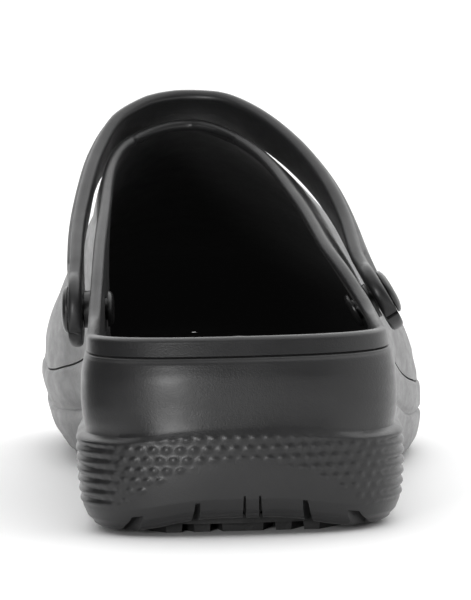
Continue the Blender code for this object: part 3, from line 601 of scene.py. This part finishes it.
upperShell = {
    "steps": 44,
    "spacing": 1.9,
    "rimAngles": [12, 32, 56, 80, 100, 124, 148, 168],
    "rimRound": 0.9,
    "evenReach": 9.0, "evenPasses": 10,
    "throatSteps": [9.0, 6.5, 4.5, 3.0, 1.8, 0.9, 0.35, 0.0],
    "flankRibs": 4, "flankPitch": 1.7, "flankDepth": 0.3, "flankStart": 0.6,
    "flankFrom": 150.0, "flankTo": 262.0, "flankFadeIn": 14.0, "flankFadeOut": 20.0,
}


def seamOut(u):
    return mix(soleSide[0]["outHeel"], soleSide[0]["outMedial"], forwardShare(u))


def ridgeZ(u):
    low = seamZ(u, 0)
    dome = rounding((shoe["length"] - u) / shoe["toeDome"], shoe["toeDomePower"])
    return low + (read(last, "ridgeZ", u) - low) * dome


def legShape(u, side):
    low = seamZ(u, side) + shoe["gap"] / 2
    return low, max(ridgeZ(u) - low, 0.0), read(last, "fullMedial" if side < 0 else "fullLateral", u)


def legEnd(u, side):
    if u >= shoe["throat"]:
        return math.pi / 2
    low, rise, power = legShape(u, side)
    share = (read(collarLine, "z", u) - low) / rise
    return math.atan2(share, (1 - share ** power) ** (1 / power))


def sectionPoint(foot, u, side, angle):
    low, rise, power = legShape(u, side)
    across, up = math.cos(angle), math.sin(angle)
    reach = (abs(across) ** power + abs(up) ** power) ** (-1 / power)
    middle = read(last, "ridgeX", u)
    z = low + rise * reach * up
    lean = shoe["heelLean"] * (z - low) * (1 - ease(u / shoe["heelRound"]))
    return place(middle + (foot.x - middle) * reach * across, foot.y + lean, z)


class Shell:
    # the upper as a grid: side, station along the foot, step from the parting line to collar or ridge

    def __init__(self, distances, steps):
        self.outline = Outline(distances)
        self.last = self.outline.last
        self.steps = steps
        self.throat = distances.index(shoe["throat"])
        self.outer, self.inner, self.normal = {}, {}, {}
        for side in (-1, 1):
            for k in range(self.last + 1):
                self.fillOuter(side, k)
        for side in (-1, 1):
            for k in range(self.last + 1):
                self.fillNormal(side, k)
        self.evenThroat()
        self.placeInner()

    def key(self, side, k, j):
        # shared points have one key: the back of the heel, the ridge and the tip of the toe
        if k == 0:
            return -1, 0, j
        if k == self.last:
            return -1, k, 0
        if k >= self.throat and j == self.steps:
            return -1, k, j
        return side, k, j

    def column(self, side, k):
        return k if side < 0 or k in (0, self.last) else self.outline.count - k

    def fillOuter(self, side, k):
        outline = self.outline
        i = self.column(side, k)
        u = outline.u[i]
        foot = outline.plan[i] + outline.out[i] * seamOut(u)
        end = legEnd(u, side) if k < self.last else 0.0
        for j in range(self.steps + 1):
            key = self.key(side, k, j)
            if key not in self.outer:
                self.outer[key] = sectionPoint(foot, u, side, end * j / self.steps)

    def at(self, side, k, j):
        return self.outer[self.key(side, k, j)]

    def neighbour(self, side, k, j, dk, dj):
        if j + dj > self.steps:
            return self.at(-side, k, self.steps - 1) if k >= self.throat else self.at(side, k, j)
        if j + dj < 0:
            return self.at(side, k, j)
        if k + dk < 0:
            return self.at(-side, 1, j)
        if k + dk > self.last:
            return self.at(side, k, j)
        return self.at(side, k + dk, j + dj)

    def fillNormal(self, side, k):
        i = self.column(side, k)
        flat = Vector((*self.outline.out[i], 0))
        base = self.at(side, k, 0)
        for j in range(self.steps + 1):
            key = self.key(side, k, j)
            if key in self.normal:
                continue
            here = self.at(side, k, j)
            if k == self.last:
                normal = flat
            else:
                along = self.neighbour(side, k, j, 1, 0) - self.neighbour(side, k, j, -1, 0)
                up = self.neighbour(side, k, j, 0, 1) - self.neighbour(side, k, j, 0, -1)
                normal = along.cross(up).normalized() * side
            if k == 0:
                normal = Vector((0, -1, 0))
            level = Vector((normal.x, normal.y, 0))
            level = level.normalized() if level.length > 0.2 else flat
            tall = ease((here.z - base.z) / (12 * mm))
            normal = (level * (1 - tall) + normal * tall).normalized()
            if j == 0:
                normal = flat
            self.normal[key] = normal

    def evenThroat(self):
        # even out the wall's direction round the throat, where collar and ridge meet
        reach, throat = upperShell["evenReach"], shoe["throat"]
        near = [k for k in range(self.last) if abs(self.outline.u[k] - throat) < reach]
        for _ in range(upperShell["evenPasses"]):
            smoothed = {}
            for side in (-1, 1):
                for k in near:
                    for j in range(self.steps + 1):
                        here = self.key(side, k, j)
                        around = [self.normal[self.key(s, k + dk, j)] for s, dk in
                                  ((side, -1), (side, 1), (-side if j == self.steps else side, -1))]
                        smoothed[here] = (self.normal[here] + sum(around, Vector())) / 4
            self.normal.update({key: value.normalized() for key, value in smoothed.items()})

    def placeInner(self):
        for key, here in self.outer.items():
            self.inner[key] = here - self.normal[key] * shoe["wall"] * mm
            if key[2] == 0 and key[1] < self.last:
                self.inner[key].z -= (shoe["gap"] - 0.02) * mm

    def collar(self):
        medial = [self.key(-1, k, self.steps) for k in range(self.throat + 1)]
        return medial + [self.key(1, k, self.steps) for k in range(self.throat - 1, 0, -1)]

    def rimRows(self, angles, roundness):
        keys = self.collar()
        count = len(keys)
        rows = []
        for angle in (math.radians(a) for a in angles):
            row = []
            for n, key in enumerate(keys):
                outer, inner = self.outer[key], self.inner[key]
                run = self.outer[keys[(n + 1) % count]] - self.outer[keys[n - 1]]
                away = run.cross(outer - inner).normalized()
                half = (outer - inner) / 2
                spot = (outer + inner) / 2 + half * math.cos(angle)
                row.append(spot + away * half.length * math.sin(angle) * roundness)
            rows.append(row)
        return rows


def makeUpper():
    s = upperShell
    nearThroat = [shoe["throat"] - d for d in s["throatSteps"]]
    shell = Shell(evenStations(lambda u: s["spacing"], nearThroat), s["steps"])
    relief = {}
    for key, point in shell.outer.items():
        side, k, j = key
        u = shell.outline.u[k]
        turns = ((point.z - shell.at(side, k, 0).z) / mm - s["flankStart"]) / s["flankPitch"]
        ribbed = ease((u - s["flankFrom"]) / s["flankFadeIn"])
        ribbed *= ease((s["flankTo"] - u) / s["flankFadeOut"])
        depth = 0.0
        if 0 < turns < s["flankRibs"] and k < shell.last:
            depth = -s["flankDepth"] * (0.5 - 0.5 * math.cos(2 * math.pi * turns)) * ribbed
        relief[key] = point + shell.normal[key] * depth * mm
    mesh = bmesh.new()
    outer = {key: mesh.verts.new(point) for key, point in relief.items()}
    inner = {key: mesh.verts.new(point) for key, point in shell.inner.items()}
    for side in (-1, 1):
        for k in range(shell.last):
            for j in range(shell.steps):
                corners = [shell.key(side, k + dk, j + dj) for dk, dj in ((0, 0), (1, 0), (1, 1), (0, 1))]
                for layer in (outer, inner):
                    addFace(mesh, [layer[key] for key in corners])
            low, ahead = shell.key(side, k, 0), shell.key(side, k + 1, 0)
            addFace(mesh, [outer[low], outer[ahead], inner[ahead], inner[low]])
    keys = shell.collar()
    rim = [[outer[key] for key in keys]]
    rim += [[mesh.verts.new(point) for point in row]
            for row in shell.rimRows(s["rimAngles"], s["rimRound"])]
    rim.append([inner[key] for key in keys])
    for row, after in zip(rim, rim[1:]):
        for n in range(len(keys)):
            m = (n + 1) % len(keys)
            addFace(mesh, [row[n], row[m], after[m], after[n]])
    return newPiece("upperShell", mesh, upperFoam, "upper", 50)


upper = makeUpper()


# heel strap, turned forward, with its rivets

heelStrap = {
    "pivotU": 72.0, "pivotZ": 52.5,
    "wide": 17.0, "thick": 3.6, "band": 0.9,
    "lobe": 10.0, "lobeStraight": 9.0, "rise": 36.5,
    "standoffMedial": 2.6, "standoffLateral": 1.6,
    "edgeU": 66.9, "edgeZ": 57.8,
    "spacing": 2.0, "perSpan": 12, "lobeEnd": 10.0, "lobeClear": 7.0, "lobeRun": 11.0,
    "lobeAngles": [4, 10, 18, 28, 40, 52, 64, 76, 88, 98, 108, 118, 126],
    "bandFrom": 12.0, "bandFade": 2.2, "edgeRound": 1.5,
}

strapLine = [
    {"x": -43.0, "z": 76.5, "fall": 50.0, "spread": 1.6},
    {"x": -40.7, "z": 87.0, "fall": 46.0, "spread": 2.2},
    {"x": -37.5, "z": 95.6, "fall": 42.0, "spread": 3.0},
    {"x": -33.0, "z": 102.8, "fall": 34.0, "spread": 0.5},
    {"x": -25.2, "z": 107.5, "fall": 29.0, "spread": -0.8},
    {"x": -16.9, "z": 109.7, "fall": 27.0, "spread": -0.5},
    {"x": -8.5, "z": 109.9, "fall": 25.0, "spread": 0.0},
    {"x": 0.2, "z": 108.5, "fall": 27.0, "spread": -0.8},
    {"x": 8.4, "z": 104.8, "fall": 30.0, "spread": 0.0},
    {"x": 16.0, "z": 99.4, "fall": 35.0, "spread": 1.4},
    {"x": 23.0, "z": 92.4, "fall": 40.0, "spread": 2.3},
    {"x": 28.6, "z": 84.2, "fall": 45.0, "spread": 3.0},
    {"x": 32.3, "z": 75.2, "fall": 50.0, "spread": 4.2},
]


def wallPoint(side, u, z):
    low, rise, power = legShape(u, side)
    share = min(max((z - low) / rise, 0.0), 1.0)
    middle = read(last, "ridgeX", u)
    foot = planX(u, side) + side * seamOut(u)
    return place(middle + (foot - middle) * (1 - share ** power) ** (1 / power), u, z)


def pivotFrame(side):
    s = heelStrap
    u, z = s["pivotU"], s["pivotZ"]
    seat = wallPoint(side, u, z)
    along = wallPoint(side, u + 6, z) - wallPoint(side, u - 6, z)
    up = wallPoint(side, u, z + 5) - wallPoint(side, u, z - 3)
    out = along.cross(up).normalized() * side
    rise = math.radians(s["rise"])
    run = Vector((0, math.cos(rise), math.sin(rise)))
    run = (run - out * run.dot(out)).normalized()
    return seat, out, run, out.cross(run) * side


def strapRows():
    s = heelStrap
    rows = []
    for row in strapLine:
        fall = math.radians(row["fall"])
        rearU = s["edgeU"] + (row["z"] - s["edgeZ"]) / math.tan(math.radians(s["rise"]))
        side = -1 if row["x"] < read(last, "ridgeX", shoe["throat"]) else 1
        rear = place(row["x"], rearU, row["z"])
        front = place(row["x"] + side * row["spread"], rearU + s["wide"] * math.cos(fall),
                      row["z"] - s["wide"] * math.sin(fall))
        rows.append(((rear + front) / 2, (rear - front).normalized()))
    ends = []
    for side, standoff in ((-1, s["standoffMedial"]), (1, s["standoffLateral"])):
        seat, out, run, across = pivotFrame(side)
        lobe = seat + out * (standoff + s["thick"]) * mm
        ends.append([(lobe, across), (lobe + run * s["lobeRun"] * mm, across)])
    return ends[0] + rows + ends[1][::-1]


def between(a, b, c, d, t):
    bend, twist = 2 * a - 5 * b + 4 * c - d, 3 * b - a - 3 * c + d
    return 0.5 * (2 * b + (c - a) * t + bend * t ** 2 + twist * t ** 3)


def strapSections():
    s = heelStrap
    rows, perSpan, lobeEnd, clear = strapRows(), s["perSpan"], s["lobeEnd"], s["lobeClear"]
    path = []
    for n in range(len(rows) - 1):
        a, b, c, d = (rows[min(max(m, 0), len(rows) - 1)] for m in (n - 1, n, n + 1, n + 2))
        for step in range(perSpan):
            t = step / perSpan
            path.append(tuple(between(a[i], b[i], c[i], d[i], t) for i in (0, 1)))
    path.append(rows[-1])
    length = [0.0]
    for (a, _), (b, _) in zip(path, path[1:]):
        length.append(length[-1] + (b - a).length / mm)
    total = length[-1]
    lobe = [-s["lobe"] * math.cos(math.radians(a)) for a in s["lobeAngles"]]
    count = round((total - 2 * lobeEnd) / s["spacing"])
    middle = [mix(lobeEnd, total - lobeEnd, n / count) for n in range(count + 1)]
    middle = [d for d in middle if clear < d < total - clear]
    sections = []
    for d in lobe + middle + [total - q for q in reversed(lobe)]:
        inside = min(max(d, 0.0), total - 1e-6)
        i = min(max(n for n in range(len(length)) if length[n] <= inside + 1e-9), len(path) - 2)
        t = (inside - length[i]) / (length[i + 1] - length[i])
        nearest = min(d, total - d)
        run = (path[i + 1][0] - path[i][0]).normalized()
        centre = path[i][0].lerp(path[i + 1][0], t)
        if nearest < s["lobeStraight"]:
            first, second = (path[0], path[perSpan]) if d < total / 2 else (path[-1], path[-1 - perSpan])
            toward = (second[0] - first[0]).normalized()
            centre = first[0] + toward * nearest * mm
            run = toward if d < total / 2 else -toward
        across = path[i][1].lerp(path[i + 1][1], t)
        across = (across - run * across.dot(run)).normalized()
        half = math.sqrt(max(s["lobe"] ** 2 - nearest ** 2, 0.0)) if nearest < s["lobe"] else 0.0
        if nearest > 0:
            half = max(half, s["wide"] / 2)
        band = s["band"] * ease((nearest - s["bandFrom"]) / s["bandFade"])
        sections.append((centre, across, across.cross(run).normalized(), half, band))
    return sections


def strapProfile(half, band):
    # flat inner face, well rounded edges and the raised band along the outer face
    thick = heelStrap["thick"]
    edge = min(heelStrap["edgeRound"], half * 0.45)
    corner = [math.radians(a) for a in (0, 22.5, 45, 67.5, 90)]
    right = [(half - edge + edge * math.sin(a), -thick + edge - edge * math.cos(a)) for a in corner]
    right += [(half - edge + edge * math.cos(a), -edge + edge * math.sin(a)) for a in corner]
    middle = half * 0.6
    right += [(middle + 0.35, 0.0), (middle + 0.1, band * 0.25), (middle - 0.25, band * 0.85),
              (middle - 0.7, band), (middle * 0.5, band * 1.08)]
    return right + [(-x, y) for x, y in reversed(right)]


def makeStrap():
    mesh = bmesh.new()
    rings = [[mesh.verts.new(centre + (across * x + out * y) * mm) for x, y in strapProfile(half, band)]
             for centre, across, out, half, band in strapSections()]
    count = len(rings[0])
    for before, after in zip(rings, rings[1:]):
        for n in range(count):
            m = (n + 1) % count
            mesh.faces.new((before[n], before[m], after[m], after[n]))
    for ring in (rings[0], rings[-1]):
        mesh.faces.new(ring)
    return newPiece("heelStrap", mesh, strapFoam, "strap", 60)


strap = makeStrap()

rivet = {
    "shaft": 3.0, "spacer": 5.0, "head": 6.2,
    "turns": 56,
    "holeDepth": 12.0, "holeTurns": 48,
}


def makeRivet(side, name, standoff):
    # a turned pin: flat head inside the upper, spacer, low domed head with a dimple outside the strap
    seat, out, run, across = pivotFrame(side)
    gap, shaft, spacer, head = shoe["gap"], rivet["shaft"], rivet["spacer"], rivet["head"]
    under, top = standoff - gap, standoff + heelStrap["thick"] + gap
    inside = -(shoe["wall"] + gap + 0.4)
    profile = [
        (0, inside - 1.5), (3.0, inside - 1.5), (3.7, inside - 1.38), (4.3, inside - 1.1),
        (4.65, inside - 0.7), (4.8, inside - 0.25), (4.75, inside),
        (shaft, inside), (shaft, gap), (spacer - 0.2, gap),
        (spacer, gap + 0.2), (spacer, under - 0.2), (spacer - 0.2, under), (shaft, under), (shaft, top),
        (head - 0.15, top), (head, top + 0.2), (head - 0.05, top + 0.6), (head - 0.4, top + 1.0),
        (head - 1.2, top + 1.4), (head - 2.4, top + 1.68), (2.6, top + 1.8), (2.2, top + 1.7),
        (1.2, top + 1.62), (0, top + 1.6),
    ]
    mesh = bmesh.new()
    rings = []
    for radius, height in profile:
        ring = []
        for n in range(rivet["turns"] if radius else 1):
            angle = 2 * math.pi * n / rivet["turns"]
            ring.append(mesh.verts.new(
                seat + (out * height + (run * math.cos(angle) + across * math.sin(angle)) * radius) * mm))
        rings.append(ring)
    for lower, upper in zip(rings, rings[1:]):
        for n in range(rivet["turns"]):
            m = (n + 1) % rivet["turns"]
            addFace(mesh, [ring[k % len(ring)] for ring, k in ((lower, n), (lower, m), (upper, m), (upper, n))])
    newPiece(name + "Fine", mesh, rivetFinish, name, 35)


def pinHole(side):
    seat, out, run, across = pivotFrame(side)
    mesh = bmesh.new()
    turn = Matrix((run, across, run.cross(across))).transposed().to_4x4()
    turn.translation = seat
    radius = (rivet["shaft"] + shoe["gap"]) * mm
    bmesh.ops.create_cone(mesh, cap_ends=True, segments=rivet["holeTurns"], radius1=radius,
                          radius2=radius, depth=2 * rivet["holeDepth"] * mm, matrix=turn)
    return mesh


makeRivet(-1, "rivet_medial", heelStrap["standoffMedial"])
makeRivet(1, "rivet_lateral", heelStrap["standoffLateral"])
for piece in (upper, strap):
    cutAway(piece, [pinHole(-1), pinHole(1)])

for nodeName, finish in (("outsole", rubber), ("insole", footbed)):
    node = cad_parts[nodeName]
    node.data.materials.clear()
    node.data.materials.append(finish)
print("rivets made, outsole and footbed dressed")


# floor, light and camera

studio = {
    "floorHalf": 6.0,
    "floorColour": (0.9, 0.9, 0.9, 1),
    "skyTop": (1.0, 1.0, 1.0, 1),
    "skyBack": (0.05, 0.05, 0.051, 1),
    "skyStrength": 1.12,
    "brightSide": (0.56, 0.83, 0.05),
    "rampDark": 0.24, "rampBright": 0.72,
    "overhead": 2.4, "overheadTilt": -16.0, "overheadAngle": 110.0,
    "flag": {"x": -0.16, "yBack": -0.34, "yFront": 0.02, "low": 0.001, "high": 0.16},
    "flagColour": (0.01, 0.01, 0.01, 1),
    "leftBox": {"spot": (-0.56, -1.38, 0.24), "aim": (0.0, -0.13, 0.03), "size": (0.3, 0.44), "power": 8.0},
    "view": {"spot": (-0.011, -1.010, 0.120), "aim": (0.0005, -0.05, 0.0525), "lens": 212.0, "roll": -1.4},
}


def makeFloor():
    mesh = bmesh.new()
    bmesh.ops.create_grid(mesh, x_segments=2, y_segments=2, size=studio["floorHalf"])
    data = bpy.data.meshes.new("studioFloor")
    mesh.to_mesh(data)
    mesh.free()
    floor = bpy.data.objects.new("studioFloor", data)
    floor.location = (0, 0, 0)
    bpy.context.scene.collection.objects.link(floor)
    made, tree, shader = newMaterial("paleFloor", {
        "Metallic": 0.0, "Roughness": 0.7, "Specular IOR Level": 0.2,
    })
    shader.inputs["Base Color"].default_value = studio["floorColour"]
    data.materials.append(made)


def turnTo(spot, aim):
    return (Vector(aim) - Vector(spot)).to_track_quat("-Z", "Y")


def boxLight(name, box):
    data = bpy.data.lights.new(name, "AREA")
    data.shape = "RECTANGLE"
    data.size, data.size_y = box["size"]
    data.energy = box["power"]
    light = bpy.data.objects.new(name, data)
    light.location = box["spot"]
    light.rotation_mode = "QUATERNION"
    light.rotation_quaternion = turnTo(box["spot"], box["aim"])
    bpy.context.scene.collection.objects.link(light)


def makeFlag():
    # a black card on the medial side, seen in reflections alone, for a dark edge on the heel cup
    card = studio["flag"]
    corners = [(card["x"], card["yBack"], card["low"]), (card["x"], card["yFront"], card["low"]),
               (card["x"], card["yFront"], card["high"]), (card["x"], card["yBack"], card["high"])]
    data = bpy.data.meshes.new("studioFlag")
    data.from_pydata(corners, [], [(0, 1, 2, 3)])
    flag = bpy.data.objects.new("studioFlag", data)
    bpy.context.scene.collection.objects.link(flag)
    made, tree, shader = newMaterial("blackCard", {
        "Metallic": 0.0, "Roughness": 0.9, "Specular IOR Level": 0.0,
    })
    shader.inputs["Base Color"].default_value = studio["flagColour"]
    data.materials.append(made)
    flag.visible_camera = False
    flag.visible_shadow = False
    flag.visible_diffuse = False


def overheadLight():
    # wide soft light from above and a little ahead: an even floor and a soft shadow at the ground
    data = bpy.data.lights.new("overhead", "SUN")
    data.energy = studio["overhead"]
    data.angle = math.radians(studio["overheadAngle"])
    light = bpy.data.objects.new("overhead", data)
    light.location = (0, 0, 2)
    light.rotation_euler = (math.radians(studio["overheadTilt"]), 0, 0)
    bpy.context.scene.collection.objects.link(light)


def makeSky():
    # a white room, brightest ahead on the lateral side and dark behind the camera
    world = bpy.data.worlds.new("whiteRoom")
    world.use_nodes = True
    tree = world.node_tree
    coords = tree.nodes.new("ShaderNodeTexCoord")
    facing = tree.nodes.new("ShaderNodeVectorMath")
    facing.operation = "DOT_PRODUCT"
    facing.inputs[1].default_value = studio["brightSide"]
    tree.links.new(coords.outputs["Generated"], facing.inputs[0])
    half = tree.nodes.new("ShaderNodeMath")
    half.operation = "MULTIPLY_ADD"
    half.inputs[1].default_value = 0.5
    half.inputs[2].default_value = 0.5
    ramp = tree.nodes.new("ShaderNodeValToRGB")
    tree.links.new(facing.outputs["Value"], half.inputs[0])
    tree.links.new(half.outputs["Value"], ramp.inputs["Fac"])
    ramp.color_ramp.elements[0].position = studio["rampDark"]
    ramp.color_ramp.elements[0].color = studio["skyBack"]
    ramp.color_ramp.elements[1].position = studio["rampBright"]
    ramp.color_ramp.elements[1].color = studio["skyTop"]
    background = tree.nodes["Background"]
    tree.links.new(ramp.outputs["Color"], background.inputs["Color"])
    background.inputs["Strength"].default_value = studio["skyStrength"]
    bpy.context.scene.world = world


def makeCamera():
    view = studio["view"]
    data = bpy.data.cameras.new("camera")
    data.lens = view["lens"]
    data.sensor_width = 36.0
    data.clip_start, data.clip_end = 0.05, 50.0
    camera = bpy.data.objects.new("camera", data)
    camera.location = view["spot"]
    camera.rotation_mode = "QUATERNION"
    roll = Matrix.Rotation(math.radians(view["roll"]), 3, "Z").to_quaternion()
    camera.rotation_quaternion = turnTo(view["spot"], view["aim"]) @ roll
    bpy.context.scene.collection.objects.link(camera)
    bpy.context.scene.camera = camera


makeFloor()
makeFlag()
makeSky()
boxLight("leftBox", studio["leftBox"])
overheadLight()
makeCamera()
bpy.context.scene.view_settings.view_transform = "Standard"
print("studio set")
